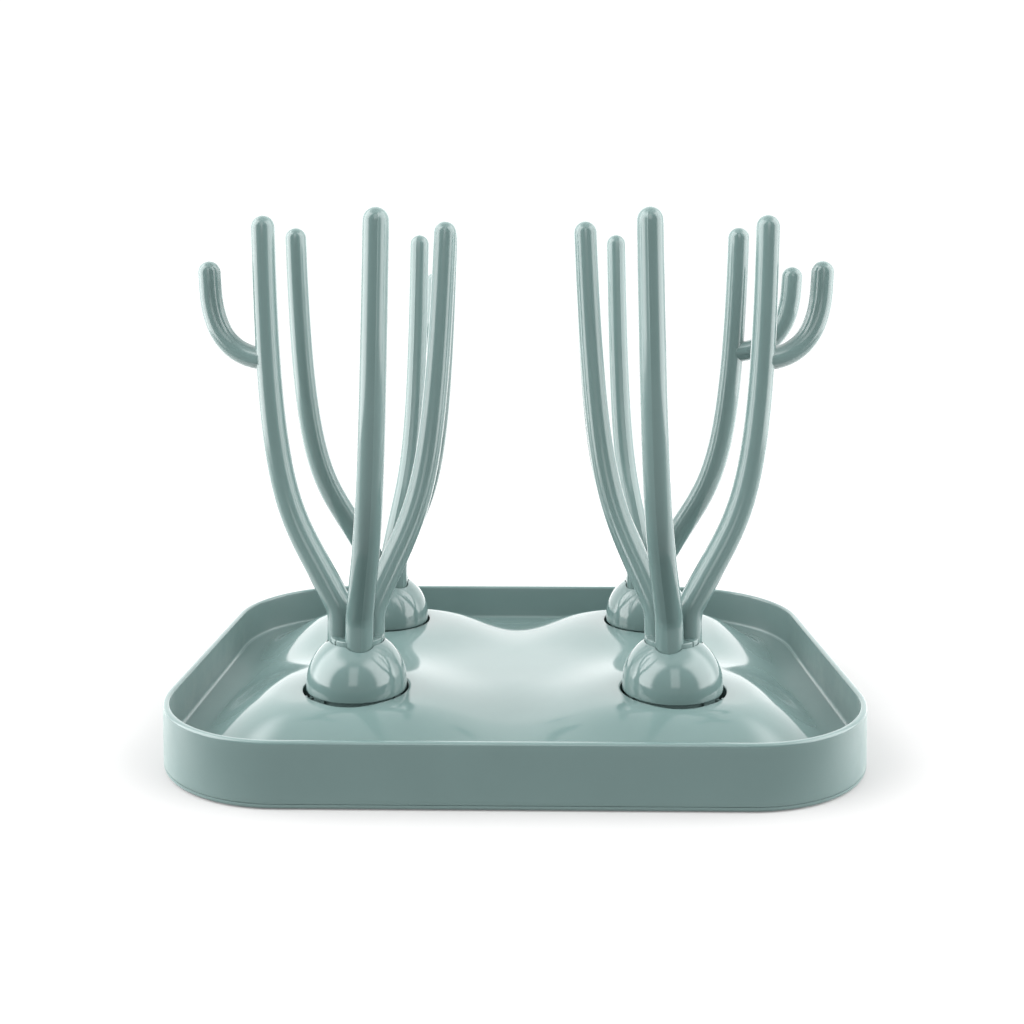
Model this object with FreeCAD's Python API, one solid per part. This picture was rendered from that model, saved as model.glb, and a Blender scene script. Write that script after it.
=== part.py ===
"""Bottle drying rack: a rectangular drip tray with four lift-out trees of three curved branches each.

Units are millimetres. +Z is up, +X is the long side of the tray, and the origin is the middle
of the flat underside. Each function makes one kind of piece, and every piece goes to its own file.
"""
import FreeCAD
import Part
import math
import os
from FreeCAD import Vector

# ---- driving dimensions: tray ------------------------------------------------------------
TRAY_WIDTH = 280.0
TRAY_DEPTH = 220.0
TRAY_CORNER = 55.0
RIM_HEIGHT = 24.6
WALL = 2.6
RIM_ROUNDING = 1.1
FLOOR_THICKNESS = 2.2
CHANNEL_HEIGHT = 7.4            # top of the floor in the drip channel along the wall
MOUND_HEIGHT = 23.4             # top of the floor round each tree
MOUND_FLAT_RADIUS = 22.0        # the mound is level this far from its tree
MOUND_FOOT_RADIUS = 93.0        # and has died away here
CHANNEL_FLAT = 6.0              # the channel is level this far from the wall
CHANNEL_SLOPE_END = 42.0        # and the mounds have their full height from here on
FOOT_SHARE = 0.25               # share of the slope between them that is its hollow foot
SADDLE_SHARE = 0.5              # the ground between the four mounds is filled up by this share
SADDLE_RADIUS = 65.0
FLOOR_GRID = 8.0                # spacing of the points that the floor passes through

# ---- driving dimensions: base cover, screws and pads -------------------------------------
BASE_THICKNESS = 1.8
BASE_EDGE_ROUNDING = 1.2
LOCATING_GAP = 0.2
LOCATING_WALL = 1.6
LOCATING_TOP = 4.6
PAD_RADIUS = 9.0
PAD_THICKNESS = 1.0
PAD_EDGE_ROUNDING = 0.3
PAD_GAP = 0.1
PAD_BACKING_MARGIN = 1.6        # the cover is thicker over each pad, this much wider than the pad
PAD_BACKING = 0.8
PAD_X = 98.0
PAD_Y = 68.0
POST_RADIUS = 4.4
POST_TOP = 4.0
BOSS_RADIUS = 3.6
SCREW_RADIUS = 1.45
SCREW_HEAD_RADIUS = 2.9
SCREW_HEAD_BOTTOM = 0.7
SCREW_HEAD_TOP = 2.4
SCREW_TIP = 10.5
SCREW_HEAD_GAP = 0.3
SCREW_COVER_GAP = 0.25
SCREW_TRAY_GAP = 0.05
SCREW_HOLE_SPARE = 0.7          # the bosses' holes are deeper than the screws by this much
RECESS_LENGTH = 3.2             # cross recess of a screw head
RECESS_WIDTH = 0.6
RECESS_DEPTH = 0.9
SCREW_PLACES = [(0, 52), (0, -52), (100, 0), (-100, 0), (33, 0), (-33, 0)]

# ---- driving dimensions: trees -----------------------------------------------------------
TREE_X = 65.0                   # the trees stand at +-TREE_X, +-TREE_Y
TREE_Y = 49.0
DOME_RADIUS = 20.5
DOME_CENTRE = 25.6
DOME_WALL = 2.2
DOME_CEILING = 35.1             # flat underside that the branch flanges bear on
DOME_EDGE = 23.8                # the round shell ends here, just above the mound
SKIRT_RADIUS = 18.9             # and a narrower skirt goes down into the socket
SKIRT_BORE = 16.7
SKIRT_BORE_TOP = 22.0
SEAT_HEIGHT = 8.4               # ledge in the socket that the dome stands on
SOCKET_RADIUS = 21.5
SOCKET_OUTER = 23.5
SOCKET_FLOOR = 6.0
SOCKET_OPENING = 14.0
SOCKET_LIP = 0.8                # the socket's wall ends this far below the mound's top
KEY_RIB_ANGLE = 30.0            # the ribs face outwards, this far from the tray's long side
KEY_WIDTH = 1.6
KEY_INNER = 18.4                # the rib reaches into the dome's notch up to KEY_TOP
KEY_TOP = 22.2
KEY_CREST_INNER = 20.9          # and only stands in the gap above that
KEY_CREST_TOP = 23.1
NOTCH_WIDTH = 2.4
NOTCH_DEPTH_RADIUS = 18.0
NOTCH_TOP = 22.8
NOTCH_CUT = 3.0
KEY_ANGLE = 45.0                # notches stand this far to each side of every branch

# ---- driving dimensions: branches --------------------------------------------------------
ROD_CENTRE = 7.0                # distance of a rod's straight root from the tree's axis
ROOT_RADIUS = 5.85
TIP_RADIUS = 5.05
TIP_TOP = 216.6
TIP_REACH = 44.5
BEND_START = 50.0               # the root is upright up to here
BEND_RADIUS = 15.0
LEAN = 31.2                     # degrees from upright on the straight stretch
LEAN_END = 65.0
BOW_LOW = (31.7, 95.0)          # the two handles of the long bow, as (reach, height)
BOW_HIGH = (40.3, 98.0)
TAPER_START = 45.0
NECK_RADIUS = 10.8
NECK_TOP = 44.6
FLANGE_RADIUS = 15.2
FLANGE_BOTTOM = 31.6
SPLIT_GAP = 0.14                # the three feet stay this far from the tree's axis
HOLE_GAP = 0.25                 # clearance of the branches in the dome's opening
RING_SPACING = 6.0              # distance between the rings that a rod is skinned over
SEAM_ANGLE = 90.0               # the skin's seam runs along the rod's flank, clear of the twig

# ---- driving dimensions: side twig -------------------------------------------------------
TWIG_RADIUS = 4.8
TWIG_TOP = 197.4
TWIG_REACH = 69.4
TWIG_CURVE = [(41.5, 156.6), (60.0, 157.0), (67.6, 169.0), (68.9, 186.0)]

# ---- driving dimensions: closing plug under each tree ------------------------------------
PLUG_RADIUS = 16.4
PLUG_BOTTOM = 9.0
PLUG_TOP = 11.2
PLUG_POST = 7.5
PLUG_BORE = 5.0
PLUG_BORE_TOP = 29.0
SNAP_RADIUS = 16.9
SNAP_LOW = 9.8
SNAP_HIGH = 10.6
GROOVE_GAP = 0.2

# Each tree: place as signs of X and Y, the direction of its forked branch in degrees, and how far
# it leans towards the middle of the rack, in degrees. A tree has some play in its
# socket, so it rests on the edge of its dome that is nearest to the middle.
TREES = {
    "front_left": (-1, -1, 165.0, 0.9),
    "front_right": (1, -1, 15.0, 0.9),
    "back_left": (-1, 1, 75.0, 0.4),
    "back_right": (1, 1, -15.0, 0.4),
}
BRANCHES = {"forked_branch": 0.0, "left_branch": 120.0, "right_branch": 240.0}
UP = Vector(0, 0, 1)


def cylinder(radius, bottom, top, x=0.0, y=0.0):
    return Part.makeCylinder(radius, top - bottom, Vector(x, y, bottom), UP)


def rounded_prism(inset, bottom, top):
    """The tray's outline, moved in by inset, as an upright prism."""
    half_x = TRAY_WIDTH / 2 - inset
    half_y = TRAY_DEPTH / 2 - inset
    block = Part.makeBox(2 * half_x, 2 * half_y, top - bottom, Vector(-half_x, -half_y, bottom))
    upright = [e for e in block.Edges if abs(e.tangentAt(e.FirstParameter).z) > 0.99]
    return block.makeFillet(TRAY_CORNER - inset, upright)


def revolved(profile):
    """Turns a closed outline of (radius, height) points and arcs about the Z axis."""
    return Part.Face(Part.Wire(profile)).revolve(Vector(0, 0, 0), UP, 360)


def line(a, b):
    return Part.LineSegment(Vector(a[0], 0, a[1]), Vector(b[0], 0, b[1])).toShape()


# ---- tray --------------------------------------------------------------------------------
def wall_distance(x, y):
    """Distance of a point from the inner face of the tray's wall."""
    radius = TRAY_CORNER - WALL
    qx = abs(x) - (TRAY_WIDTH / 2 - TRAY_CORNER)
    qy = abs(y) - (TRAY_DEPTH / 2 - TRAY_CORNER)
    return radius - math.hypot(max(qx, 0.0), max(qy, 0.0)) - min(max(qx, qy), 0.0)


def slope_share(t):
    """From 0 in the channel to 1 on the mounds: a short hollow foot, then ever gentler to the top."""
    t = min(max(t, 0.0), 1.0)
    climbed = t * t / (2 * FOOT_SHARE) if t < FOOT_SHARE else t - FOOT_SHARE / 2
    return math.sin(math.pi / 2 * climbed / (1 - FOOT_SHARE / 2))


def floor_height(x, y):
    """Top of the floor: four mounds joined by a low saddle, and a level channel along the wall."""
    low_ground = 1.0
    for sx, sy, _, _ in TREES.values():
        far = math.hypot(x - sx * TREE_X, y - sy * TREE_Y)
        t = (far - MOUND_FLAT_RADIUS) / (MOUND_FOOT_RADIUS - MOUND_FLAT_RADIUS)
        low_ground *= 0.5 - 0.5 * math.cos(math.pi * min(max(t, 0.0), 1.0))
    t = min(math.hypot(x, y) / SADDLE_RADIUS, 1.0)
    low_ground *= 1.0 - SADDLE_SHARE * (0.5 + 0.5 * math.cos(math.pi * t))
    rise = (wall_distance(x, y) - CHANNEL_FLAT) / (CHANNEL_SLOPE_END - CHANNEL_FLAT)
    share = (1.0 - low_ground) * slope_share(rise)
    return CHANNEL_HEIGHT + (MOUND_HEIGHT - CHANNEL_HEIGHT) * share


def floor_slab():
    """A floor of even thickness under the smooth surface through floor_height."""
    count_x = int(round(TRAY_WIDTH / FLOOR_GRID))
    count_y = int(round(TRAY_DEPTH / FLOOR_GRID))
    rows = []
    for i in range(count_x + 1):
        x = TRAY_WIDTH * (i / count_x - 0.5)
        ys = [TRAY_DEPTH * (j / count_y - 0.5) for j in range(count_y + 1)]
        rows.append([Vector(x, y, floor_height(x, y)) for y in ys])
    surface = Part.BSplineSurface()
    surface.interpolate(rows)
    slab = surface.toShape().extrude(Vector(0, 0, -FLOOR_THICKNESS))
    return slab.common(rounded_prism(WALL / 2, 0, RIM_HEIGHT + 10))


def key_rib(angle):
    """The rib in a socket that keeps a tree from turning."""
    rib = None
    for inner, top in ((KEY_INNER, KEY_TOP), (KEY_CREST_INNER, KEY_CREST_TOP)):
        corner = Vector(inner, -KEY_WIDTH / 2, SEAT_HEIGHT)
        step = Part.makeBox(SOCKET_RADIUS + 0.5 - inner, KEY_WIDTH, top - SEAT_HEIGHT, corner)
        rib = step if rib is None else rib.fuse(step)
    rib.rotate(Vector(0, 0, 0), UP, angle)
    return rib


def make_tray():
    wall = rounded_prism(0, BASE_THICKNESS, RIM_HEIGHT)
    wall = wall.cut(rounded_prism(WALL, 0, RIM_HEIGHT + 1))
    rim = [e for e in wall.Edges if e.BoundBox.ZMin > RIM_HEIGHT - 0.01]
    wall = wall.makeFillet(RIM_ROUNDING, rim)
    tray = wall.fuse(floor_slab())
    for sx, sy, _, _ in TREES.values():
        x, y = sx * TREE_X, sy * TREE_Y
        tray = tray.fuse(cylinder(SOCKET_OUTER, SOCKET_FLOOR, MOUND_HEIGHT - SOCKET_LIP, x, y))
        tray = tray.cut(cylinder(SOCKET_RADIUS, SEAT_HEIGHT, RIM_HEIGHT + 5, x, y))
        tray = tray.cut(cylinder(SOCKET_OPENING, 0, SEAT_HEIGHT + 1, x, y))
        rib = key_rib(KEY_RIB_ANGLE * sx * sy + (180 if sx < 0 else 0))
        rib.translate(Vector(x, y, 0))
        tray = tray.fuse(rib)
    for x, y in SCREW_PLACES:
        top = floor_height(x, y) - FLOOR_THICKNESS / 2
        tray = tray.fuse(cylinder(BOSS_RADIUS, POST_TOP, top, x, y))
        hole = SCREW_RADIUS + SCREW_TRAY_GAP
        tray = tray.cut(cylinder(hole, POST_TOP - 1, SCREW_TIP + SCREW_HOLE_SPARE, x, y))
    return tray


# ---- base cover, pads and screws ---------------------------------------------------------
def pad_places():
    return {
        "front_left": (-PAD_X, -PAD_Y),
        "front_right": (PAD_X, -PAD_Y),
        "back_left": (-PAD_X, PAD_Y),
        "back_right": (PAD_X, PAD_Y),
    }


def make_base_cover():
    plate = rounded_prism(0, 0, BASE_THICKNESS)
    edge = [e for e in plate.Edges if e.BoundBox.ZMax < 0.01]
    plate = plate.makeFillet(BASE_EDGE_ROUNDING, edge)
    outer = WALL + LOCATING_GAP
    ring = rounded_prism(outer, BASE_THICKNESS, LOCATING_TOP)
    ring = ring.cut(rounded_prism(outer + LOCATING_WALL, 0, LOCATING_TOP + 1))
    plate = plate.fuse(ring)
    for x, y in pad_places().values():
        backing = PAD_RADIUS + PAD_BACKING_MARGIN
        plate = plate.fuse(cylinder(backing, BASE_THICKNESS, BASE_THICKNESS + PAD_BACKING, x, y))
        plate = plate.cut(cylinder(PAD_RADIUS + PAD_GAP, 0, PAD_THICKNESS, x, y))
    for x, y in SCREW_PLACES:
        plate = plate.fuse(cylinder(POST_RADIUS, BASE_THICKNESS, POST_TOP, x, y))
        plate = plate.cut(cylinder(SCREW_HEAD_RADIUS + SCREW_HEAD_GAP, 0, SCREW_HEAD_TOP, x, y))
        plate = plate.cut(cylinder(SCREW_RADIUS + SCREW_COVER_GAP, 0, POST_TOP, x, y))
    return plate


def make_pad(x, y):
    pad = cylinder(PAD_RADIUS, 0, PAD_THICKNESS, x, y)
    lower = [e for e in pad.Edges if e.BoundBox.ZMax < 0.01]
    return pad.makeFillet(PAD_EDGE_ROUNDING, lower)


def make_screws():
    """All the screws of the base cover: pan heads with a cross recess, and plain shanks."""
    screws = []
    for x, y in SCREW_PLACES:
        screw = cylinder(SCREW_HEAD_RADIUS, SCREW_HEAD_BOTTOM, SCREW_HEAD_TOP, x, y)
        screw = screw.fuse(cylinder(SCREW_RADIUS, SCREW_HEAD_TOP, SCREW_TIP, x, y))
        for length, width in ((RECESS_LENGTH, RECESS_WIDTH), (RECESS_WIDTH, RECESS_LENGTH)):
            corner = Vector(x - length / 2, y - width / 2, SCREW_HEAD_BOTTOM)
            screw = screw.cut(Part.makeBox(length, width, RECESS_DEPTH, corner))
        screws.append(screw)
    return Part.makeCompound(screws)


# ---- one tree, standing on the Z axis with its forked branch along +X --------------------
def dome_arc(radius, top_angle):
    """An arc of the dome's section, from its equator up to top_angle degrees."""
    ends = []
    for degrees in (0, top_angle / 2, top_angle):
        a = math.radians(degrees)
        ends.append(Vector(radius * math.cos(a), 0, DOME_CENTRE + radius * math.sin(a)))
    return Part.Arc(*ends).toShape()


def dome_profile():
    """Half section of the dome: a round shell with a flat ceiling inside, and a narrower skirt."""
    inner = DOME_RADIUS - DOME_WALL
    ceiling_angle = math.degrees(math.asin((DOME_CEILING - DOME_CENTRE) / inner))
    ceiling_edge = inner * math.cos(math.radians(ceiling_angle))
    groove = SNAP_RADIUS + GROOVE_GAP
    low, high = SNAP_LOW - GROOVE_GAP, SNAP_HIGH + GROOVE_GAP
    apex = (0, DOME_CENTRE + DOME_RADIUS)
    return [
        dome_arc(DOME_RADIUS, 90),
        line((DOME_RADIUS, DOME_CENTRE), (DOME_RADIUS, DOME_EDGE)),
        line((DOME_RADIUS, DOME_EDGE), (SKIRT_RADIUS, DOME_EDGE)),
        line((SKIRT_RADIUS, DOME_EDGE), (SKIRT_RADIUS, SEAT_HEIGHT)),
        line((SKIRT_RADIUS, SEAT_HEIGHT), (SKIRT_BORE, SEAT_HEIGHT)),
        line((SKIRT_BORE, SEAT_HEIGHT), (SKIRT_BORE, low)),
        line((SKIRT_BORE, low), (groove, low)),
        line((groove, low), (groove, high)),
        line((groove, high), (SKIRT_BORE, high)),
        line((SKIRT_BORE, high), (SKIRT_BORE, SKIRT_BORE_TOP)),
        line((SKIRT_BORE, SKIRT_BORE_TOP), (inner, DOME_CENTRE)),
        dome_arc(inner, ceiling_angle),
        line((ceiling_edge, DOME_CEILING), (0, DOME_CEILING)),
        line((0, DOME_CEILING), apex),
    ]


def make_dome():
    dome = revolved(dome_profile())
    top = DOME_CENTRE + DOME_RADIUS + 1
    opening = cylinder(NECK_RADIUS + HOLE_GAP, DOME_CEILING - 1, top)
    for turn in BRANCHES.values():
        a = math.radians(turn)
        x, y = ROD_CENTRE * math.cos(a), ROD_CENTRE * math.sin(a)
        opening = opening.fuse(cylinder(ROOT_RADIUS + HOLE_GAP, DOME_CEILING - 1, top, x, y))
    dome = dome.cut(opening)
    for turn in BRANCHES.values():
        for side in (-KEY_ANGLE, KEY_ANGLE):
            notch = Part.makeBox(
                NOTCH_CUT,
                NOTCH_WIDTH,
                NOTCH_TOP - SEAT_HEIGHT + 1,
                Vector(NOTCH_DEPTH_RADIUS, -NOTCH_WIDTH / 2, SEAT_HEIGHT - 1),
            )
            notch.rotate(Vector(0, 0, 0), UP, turn + side)
            dome = dome.cut(notch)
    return dome


def make_plug():
    """The round plug that snaps into the dome from below and holds up the branch flanges."""
    corners = [
        (PLUG_BORE, PLUG_BOTTOM),
        (PLUG_RADIUS, PLUG_BOTTOM),
        (PLUG_RADIUS, SNAP_LOW),
        (SNAP_RADIUS, SNAP_LOW),
        (SNAP_RADIUS, SNAP_HIGH),
        (PLUG_RADIUS, SNAP_HIGH),
        (PLUG_RADIUS, PLUG_TOP),
        (PLUG_POST, PLUG_TOP),
        (PLUG_POST, FLANGE_BOTTOM),
        (0, FLANGE_BOTTOM),
        (0, PLUG_BORE_TOP),
        (PLUG_BORE, PLUG_BORE_TOP),
    ]
    sides = zip(corners, corners[1:] + corners[:1])
    return revolved([line(a, b) for a, b in sides])


def bezier(points, t):
    """A point of a cubic curve through (reach, height) handles, and its lean from upright."""
    (r0, z0), (r1, z1), (r2, z2), (r3, z3) = points
    u = 1 - t
    r = u**3 * r0 + 3 * u * u * t * r1 + 3 * u * t * t * r2 + t**3 * r3
    z = u**3 * z0 + 3 * u * u * t * z1 + 3 * u * t * t * z2 + t**3 * z3
    dr = u * u * (r1 - r0) + 2 * u * t * (r2 - r1) + t * t * (r3 - r2)
    dz = u * u * (z1 - z0) + 2 * u * t * (z2 - z1) + t * t * (z3 - z2)
    return r, z, math.degrees(math.atan2(dr, dz))


def rod_radius(z):
    """The rod tapers quickly above the root and hardly at all near the tip."""
    u = min(max((z - TAPER_START) / (TIP_TOP - TAPER_START), 0.0), 1.0)
    return TIP_RADIUS + (ROOT_RADIUS - TIP_RADIUS) * (1 - u) ** 2


def evenly_spaced(stations):
    """The same line with its stations a steady RING_SPACING apart, so that a skin over them is fair."""
    lengths = [0.0]
    for (r0, z0, _), (r1, z1, _) in zip(stations, stations[1:]):
        lengths.append(lengths[-1] + math.hypot(r1 - r0, z1 - z0))
    count = int(round(lengths[-1] / RING_SPACING))
    spaced = []
    for k in range(count + 1):
        want = lengths[-1] * k / count
        i = max(n for n in range(len(stations) - 1) if lengths[n] <= want + 1e-9)
        share = (want - lengths[i]) / (lengths[i + 1] - lengths[i])
        spaced.append(tuple(a + share * (b - a) for a, b in zip(stations[i], stations[i + 1])))
    return spaced


def branch_line():
    """Stations along a branch's middle line as (reach, height, lean in degrees)."""
    stations = [(ROD_CENTRE, FLANGE_BOTTOM, 0.0)]
    for k in range(9):
        a = math.radians(LEAN) * k / 8
        r = ROD_CENTRE + BEND_RADIUS * (1 - math.cos(a))
        stations.append((r, BEND_START + BEND_RADIUS * math.sin(a), math.degrees(a)))
    r, z, _ = stations[-1]
    end = (r + (LEAN_END - z) * math.tan(math.radians(LEAN)), LEAN_END)
    bow = [end, BOW_LOW, BOW_HIGH, (TIP_REACH, TIP_TOP - TIP_RADIUS)]
    stations += [bezier(bow, k / 60) for k in range(61)]
    return evenly_spaced(stations)


def set_on_line(shape, station):
    """Moves a shape made upright at the origin to a station, leaning with the line."""
    r, z, lean = station
    shape.rotate(Vector(0, 0, 0), UP, SEAM_ANGLE)
    shape.rotate(Vector(0, 0, 0), Vector(0, 1, 0), lean)
    shape.translate(Vector(r, 0, z))
    return shape


def rod(stations, radius_at):
    """A round rod through the stations, with a half-ball end on the last one."""
    rings = []
    for station in stations:
        circle = Part.Circle(Vector(0, 0, 0), UP, radius_at(station[1]))
        rings.append(set_on_line(Part.Wire([circle.toShape()]), station))
    ball = Part.makeSphere(radius_at(stations[-1][1]), Vector(0, 0, 0), UP, 0, 90, 360)
    return Part.makeLoft(rings, True, False).fuse(set_on_line(ball, stations[-1]))


def branch_foot():
    """A third of the round neck and of the flange under it."""
    round_foot = cylinder(NECK_RADIUS, FLANGE_BOTTOM, NECK_TOP)
    round_foot = round_foot.fuse(cylinder(FLANGE_RADIUS, FLANGE_BOTTOM, DOME_CEILING))
    reach = 3 * FLANGE_RADIUS
    a = math.radians(60)
    apex = Vector(SPLIT_GAP, 0, FLANGE_BOTTOM)
    left = apex + Vector(reach * math.cos(a), reach * math.sin(a), 0)
    right = apex + Vector(reach * math.cos(a), -reach * math.sin(a), 0)
    third = Part.Face(Part.makePolygon([apex, right, left, apex]))
    return round_foot.common(third.extrude(Vector(0, 0, NECK_TOP - FLANGE_BOTTOM)))


def make_plain_branch():
    return rod(branch_line(), rod_radius).fuse(branch_foot())


def make_forked_branch():
    curve = [bezier(TWIG_CURVE, k / 40) for k in range(41)]
    curve.append((TWIG_REACH, TWIG_TOP - TWIG_RADIUS, curve[-1][2]))
    return make_plain_branch().fuse(rod(evenly_spaced(curve), lambda z: TWIG_RADIUS))


def tree_pieces():
    """The pieces of one tree, each with its turn about the tree's axis."""
    plain = make_plain_branch()
    forked = make_forked_branch()
    pieces = {"dome": (make_dome(), 0.0), "plug": (make_plug(), 0.0)}
    for name, turn in BRANCHES.items():
        pieces[name] = (forked if name == "forked_branch" else plain, turn)
    return pieces


def placed(shape, turn, sx, sy, lean):
    """Turns a tree's piece, tips it over the inner edge of the skirt, and sets it in its socket."""
    copy = shape.copy()
    copy.rotate(Vector(0, 0, 0), UP, turn)
    copy.rotate(Vector(-sx * SKIRT_RADIUS, 0, SEAT_HEIGHT), Vector(0, -sx, 0), lean)
    copy.translate(Vector(sx * TREE_X, sy * TREE_Y, 0))
    return copy


# ---- write every piece -------------------------------------------------------------------
def save(name, shape):
    os.makedirs("parts", exist_ok=True)
    solids = shape.Solids
    if len(solids) == 1:
        shape = solids[0]
    size = shape.BoundBox
    print(
        f"{name:28s} solids {len(solids)} valid {shape.isValid()} volume {shape.Volume / 1000:8.2f} cm3"
        f" z {size.ZMin:6.2f} to {size.ZMax:6.2f}"
    )
    shape.exportStep(f"parts/{name}.step")


def main():
    save("tray", make_tray())
    save("base_cover", make_base_cover())
    save("base_screws", make_screws())
    for corner, (x, y) in pad_places().items():
        save(f"{corner}_pad", make_pad(x, y))
    pieces = tree_pieces()
    for tree, (sx, sy, heading, lean) in TREES.items():
        for name, (shape, turn) in pieces.items():
            save(f"{tree}_{name}", placed(shape, heading + turn, sx, sy, lean))


main()
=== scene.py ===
"""Looks of the bottle drying rack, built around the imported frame.

The tray, domes and branches are meshed finely here in place of their plain solids. Lengths in the
mesh code are millimetres, like the design; every object is scaled to metres when it is made.
"""
import math

import bmesh
import bpy
import numpy as np
from mathutils import Matrix, Vector


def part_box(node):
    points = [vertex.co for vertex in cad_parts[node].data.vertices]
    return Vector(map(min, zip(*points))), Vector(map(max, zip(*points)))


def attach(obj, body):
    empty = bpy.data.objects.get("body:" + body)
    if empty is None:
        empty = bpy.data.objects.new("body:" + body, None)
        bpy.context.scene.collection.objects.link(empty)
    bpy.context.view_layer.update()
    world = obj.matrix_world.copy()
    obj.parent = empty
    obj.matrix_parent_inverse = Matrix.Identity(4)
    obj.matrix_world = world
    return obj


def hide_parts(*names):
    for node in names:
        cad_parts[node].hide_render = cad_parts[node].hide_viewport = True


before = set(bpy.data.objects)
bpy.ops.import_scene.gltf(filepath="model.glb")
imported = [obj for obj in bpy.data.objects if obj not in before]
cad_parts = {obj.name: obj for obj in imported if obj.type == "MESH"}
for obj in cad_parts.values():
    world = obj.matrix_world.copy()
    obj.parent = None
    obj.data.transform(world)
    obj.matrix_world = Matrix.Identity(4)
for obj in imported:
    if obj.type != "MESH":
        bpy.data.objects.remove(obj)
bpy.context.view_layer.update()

MM = 0.001
SHARP_DEGREES = 32.0            # faces that meet at more than this keep a hard edge

# ---- tray, as designed -------------------------------------------------------------------
TRAY_LOW, TRAY_HIGH = (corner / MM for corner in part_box("tray"))
HALF_X = TRAY_HIGH.x
HALF_Y = TRAY_HIGH.y
RIM_HEIGHT = TRAY_HIGH.z
TRAY_BOTTOM = TRAY_LOW.z
TRAY_CORNER = 55.0
TREE_X = 65.0
TREE_Y = 49.0
WALL = 2.6
FLOOR_THICKNESS = 2.2
CHANNEL_HEIGHT = 7.4
MOUND_HEIGHT = 23.4
MOUND_FLAT_RADIUS = 22.0
MOUND_FOOT_RADIUS = 93.0
CHANNEL_FLAT = 6.0
CHANNEL_SLOPE_END = 42.0
FOOT_SHARE = 0.25
SADDLE_SHARE = 0.5
SADDLE_RADIUS = 65.0
SEAT_HEIGHT = 8.4
SOCKET_RADIUS = 21.5
SOCKET_OUTER = 23.5
SOCKET_FLOOR = 6.0
SOCKET_OPENING = 14.0

# One stepped rib in each socket keys the tree; it faces outwards, at an angle to the long side.
KEY_WIDTH = 1.6
KEY_INNER = 18.4
KEY_TOP = 22.2
KEY_CREST_INNER = 20.9
KEY_CREST_TOP = 23.1
KEY_RIB_ANGLE = 30.0

# Fineness of the tray's mesh: points round each tree, rows of the floor and of its underside.
TRAY_RAYS = 208
FLOOR_ROWS = 64
UNDERSIDE_ROWS = 12

# Small roundings that only the finished mouldings have.
RIM_ROUNDING = 1.1
FLOOR_FILLET = 1.6
LIP_ROUNDING = 0.45
SEAM_ROUNDING = 0.35
DOME_ROUNDING = 0.35
NECK_ROUNDING = 0.4
FLANGE_ROUNDING = 0.3

# ---- trees, as designed ------------------------------------------------------------------
DOME_RADIUS = 20.5
DOME_CENTRE = 25.6
DOME_WALL = 2.2
DOME_CEILING = 35.1
DOME_EDGE = 23.3                # 0.5 lower than in the solid, which closes the gap to the eye
SKIRT_RADIUS = 18.9
SKIRT_BORE = 16.7
SKIRT_BORE_TOP = 22.0
NOTCH_WIDTH = 2.4
NOTCH_DEPTH_RADIUS = 18.0
NOTCH_TOP = 22.8
KEY_ANGLE = 45.0
ROD_CENTRE = 7.0
ROOT_RADIUS = 5.85
TIP_RADIUS = 5.05
TIP_TOP = 216.6
TIP_REACH = 44.5
BEND_START = 50.0
BEND_RADIUS = 15.0
LEAN = 31.2
LEAN_END = 65.0
BOW_LOW = (31.7, 95.0)
BOW_HIGH = (40.3, 98.0)
TAPER_START = 45.0
NECK_RADIUS = 10.8
NECK_TOP = 44.6
FLANGE_RADIUS = 15.2
FLANGE_BOTTOM = 31.6
SPLIT_GAP = 0.14
HOLE_GAP = 0.25
CEILING_GAP = 0.02
TWIG_RADIUS = 4.8
TWIG_TOP = 197.4
TWIG_REACH = 69.4
TWIG_CURVE = [(41.5, 156.6), (60.0, 157.0), (67.6, 169.0), (68.9, 186.0)]
PARTING_HEIGHT = 0.11           # ridge where the two halves of the mould met
PARTING_WIDTH = 0.30

# Each tree: place as signs of X and Y, the direction of its forked branch, and its lean towards
# the middle of the rack, in degrees.
TREES = {
    "front_left": (-1, -1, 165.0, 0.9),
    "front_right": (1, -1, 15.0, 0.9),
    "back_left": (-1, 1, 75.0, 0.4),
    "back_right": (1, 1, -15.0, 0.4),
}
TURNS = {"forked_branch": 0.0, "left_branch": 120.0, "right_branch": 240.0}


# ---- materials ---------------------------------------------------------------------------
def node(tree, kind, **values):
    """Adds a shader node; values set its properties, or its inputs by name."""
    made = tree.nodes.new(kind)
    for name, value in values.items():
        if hasattr(made, name):
            setattr(made, name, value)
        else:
            made.inputs[name.replace("_", " ")].default_value = value
    return made


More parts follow.
